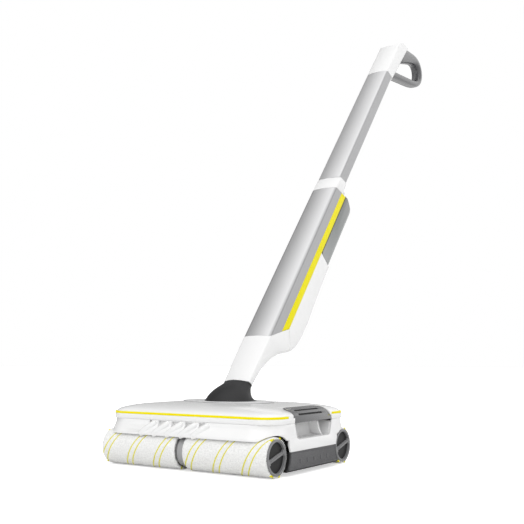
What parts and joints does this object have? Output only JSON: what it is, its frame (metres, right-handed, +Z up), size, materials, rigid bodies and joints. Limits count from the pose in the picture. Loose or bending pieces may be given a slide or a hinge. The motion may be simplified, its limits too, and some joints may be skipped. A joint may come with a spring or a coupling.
{
  "type": "wet dry floor scrubber",
  "caption": "Upright cordless floor washer: low head on driven microfibre rollers, cardan-jointed leaning handle, fresh and dirty water tanks, D grip.",
  "frame": {"origin": "on the floor under the middle of the cleaning head", "axes": "+Z up, -Y the front of the head, +X the machine's right as seen from behind the front rollers; the handle leans back towards +Y"},
  "size_m": [0.3232, 1.0386, 0.9778],
  "materials": {
    "white_plastic": "gloss moulded",
    "black_plastic": "satin moulded",
    "dark_grey_plastic": "finely textured",
    "cap_grey": "satin moulded",
    "yellow_plastic": "gloss",
    "satin_silver": "satin",
    "grey_plastic": "moulded",
    "dirty_tank_plastic": "translucent",
    "smoked_tank": "smoked translucent",
    "rubber": "matt",
    "microfibre": "short pile",
    "steel": "turned",
    "bearing_bronze": "sintered",
    "battery_wrap": "shrink wrap",
    "circuit_board": "solder mask"
  },
  "bodies": {
    "head": {"head_skirt": "white_plastic", "head_cover": "white_plastic", "front_trim": "yellow_plastic", "rear_trim": "yellow_plastic", "right_side_band": "dark_grey_plastic", "left_side_band": "dark_grey_plastic", "latch_springs": "steel", "head_chassis": "black_plastic", "gearbox_case": "grey_plastic", "gearbox_lid": "grey_plastic", "drive_belts": "rubber", "drive_motor": "steel", "axle_bearings": "bearing_bronze", "front_scraper": "rubber", "rear_scraper": "rubber", "water_bars": "grey_plastic", "feed_hose": "rubber", "head_screws": "steel", "joint_bracket": "grey_plastic", "joint_boot": "rubber"},
    "dirty_tank": {"dirty_water_tank": "dirty_tank_plastic", "dirty_tank_lid": "grey_plastic"},
    "motor_rotor": {"motor_shaft": "steel"},
    "jack_rotor": {"jackshaft": "steel"},
    "front_drive": {"front_axle": "steel"},
    "rear_drive": {"rear_axle": "steel"},
    "right_pad": {"right_grip_pad": "dark_grey_plastic"},
    "left_pad": {"left_grip_pad": "dark_grey_plastic"},
    "cardan": {"joint_yoke": "steel"},
    "handle": {"neck_housing": "white_plastic", "front_shell": "satin_silver", "right_strip": "yellow_plastic", "left_strip": "yellow_plastic", "back_cover": "white_plastic", "collar": "white_plastic", "upper_tube": "satin_silver", "handle_cap": "white_plastic", "grip_loop": "dark_grey_plastic", "battery_pack": "battery_wrap", "control_board": "circuit_board", "water_pump": "grey_plastic", "charge_socket": "grey_plastic", "handle_screws": "steel"},
    "fresh_tank": {"fresh_water_tank": "smoked_tank", "tank_cap": "rubber"},
    "tank_button": {"tank_latch": "dark_grey_plastic"},
    "power_switch": {"power_button": "dark_grey_plastic"},
    "front_right_roller": {"front_right_core": "grey_plastic", "front_right_pile": "microfibre", "front_right_end_cap": "cap_grey"},
    "front_left_roller": {"front_left_core": "grey_plastic", "front_left_pile": "microfibre", "front_left_end_cap": "cap_grey"},
    "rear_right_roller": {"rear_right_core": "grey_plastic", "rear_right_pile": "microfibre", "rear_right_end_cap": "cap_grey"},
    "rear_left_roller": {"rear_left_core": "grey_plastic", "rear_left_pile": "microfibre", "rear_left_end_cap": "cap_grey"}
  },
  "joints": [
    {"name": "front_roller_spin", "type": "hinge", "parent": "head", "child": "front_drive", "pos_m": [0, -0.1035, 0.0295], "axis": [1, 0, 0], "continuous": true},
    {"name": "rear_roller_spin", "type": "hinge", "parent": "head", "child": "rear_drive", "pos_m": [0, 0.1035, 0.0295], "axis": [1, 0, 0], "continuous": true},
    {"name": "motor_spin", "type": "hinge", "parent": "head", "child": "motor_rotor", "pos_m": [0, -0.014, 0.066], "axis": [1, 0, 0], "continuous": true},
    {"name": "jackshaft_spin", "type": "hinge", "parent": "head", "child": "jack_rotor", "pos_m": [0, 0.014, 0.066], "axis": [1, 0, 0], "continuous": true},
    {"name": "front_right_roller_pull", "type": "slide", "parent": "front_drive", "child": "front_right_roller", "axis": [1, 0, 0], "range_m": [0, 0.06]},
    {"name": "front_left_roller_pull", "type": "slide", "parent": "front_drive", "child": "front_left_roller", "axis": [-1, 0, 0], "range_m": [0, 0.06]},
    {"name": "rear_right_roller_pull", "type": "slide", "parent": "rear_drive", "child": "rear_right_roller", "axis": [1, 0, 0], "range_m": [0, 0.06]},
    {"name": "rear_left_roller_pull", "type": "slide", "parent": "rear_drive", "child": "rear_left_roller", "axis": [-1, 0, 0], "range_m": [0, 0.06]},
    {"name": "right_pad_press", "type": "slide", "parent": "head", "child": "right_pad", "axis": [0, 0, -1], "range_m": [0, 0.0025], "stiffness_N_per_m": 900, "springref_m": -0.002, "deforming": ["latch_springs"]},
    {"name": "left_pad_press", "type": "slide", "parent": "head", "child": "left_pad", "axis": [0, 0, -1], "range_m": [0, 0.0025], "stiffness_N_per_m": 900, "springref_m": -0.002, "deforming": ["latch_springs"]},
    {"name": "dirty_tank_drop", "type": "slide", "parent": "head", "child": "dirty_tank", "axis": [0, 0, -1], "range_m": [0, 0.045]},
    {"name": "handle_tilt", "type": "hinge", "parent": "head", "child": "cardan", "pos_m": [0, 0.00606, 0.10003], "axis": [-1, 0, 0], "range_deg": [-39.7, 20], "deforming": ["joint_boot"]},
    {"name": "handle_swivel", "type": "hinge", "parent": "cardan", "child": "handle", "pos_m": [0, 0.00606, 0.10003], "axis": [0, 0.7687, -0.6396], "range_deg": [-15, 15], "deforming": ["joint_boot"]},
    {"name": "fresh_tank_pull", "type": "slide", "parent": "handle", "child": "fresh_tank", "axis": [0, 0.7687, -0.6396], "range_m": [0, 0.07]},
    {"name": "tank_latch_press", "type": "slide", "parent": "fresh_tank", "child": "tank_button", "axis": [0, -0.7687, 0.6396], "range_m": [0, 0.0015], "stiffness_N_per_m": 400, "springref_m": -0.002},
    {"name": "power_button_press", "type": "slide", "parent": "handle", "child": "power_switch", "axis": [0, 0.3448, -0.9387], "range_m": [0, 0.0012], "stiffness_N_per_m": 400, "springref_m": -0.002}
  ],
  "couplings": [
    {"joint": "rear_roller_spin", "follows": "front_roller_spin", "ratio": -1},
    {"joint": "motor_spin", "follows": "front_roller_spin", "ratio": 2},
    {"joint": "jackshaft_spin", "follows": "front_roller_spin", "ratio": -2}
  ]
}
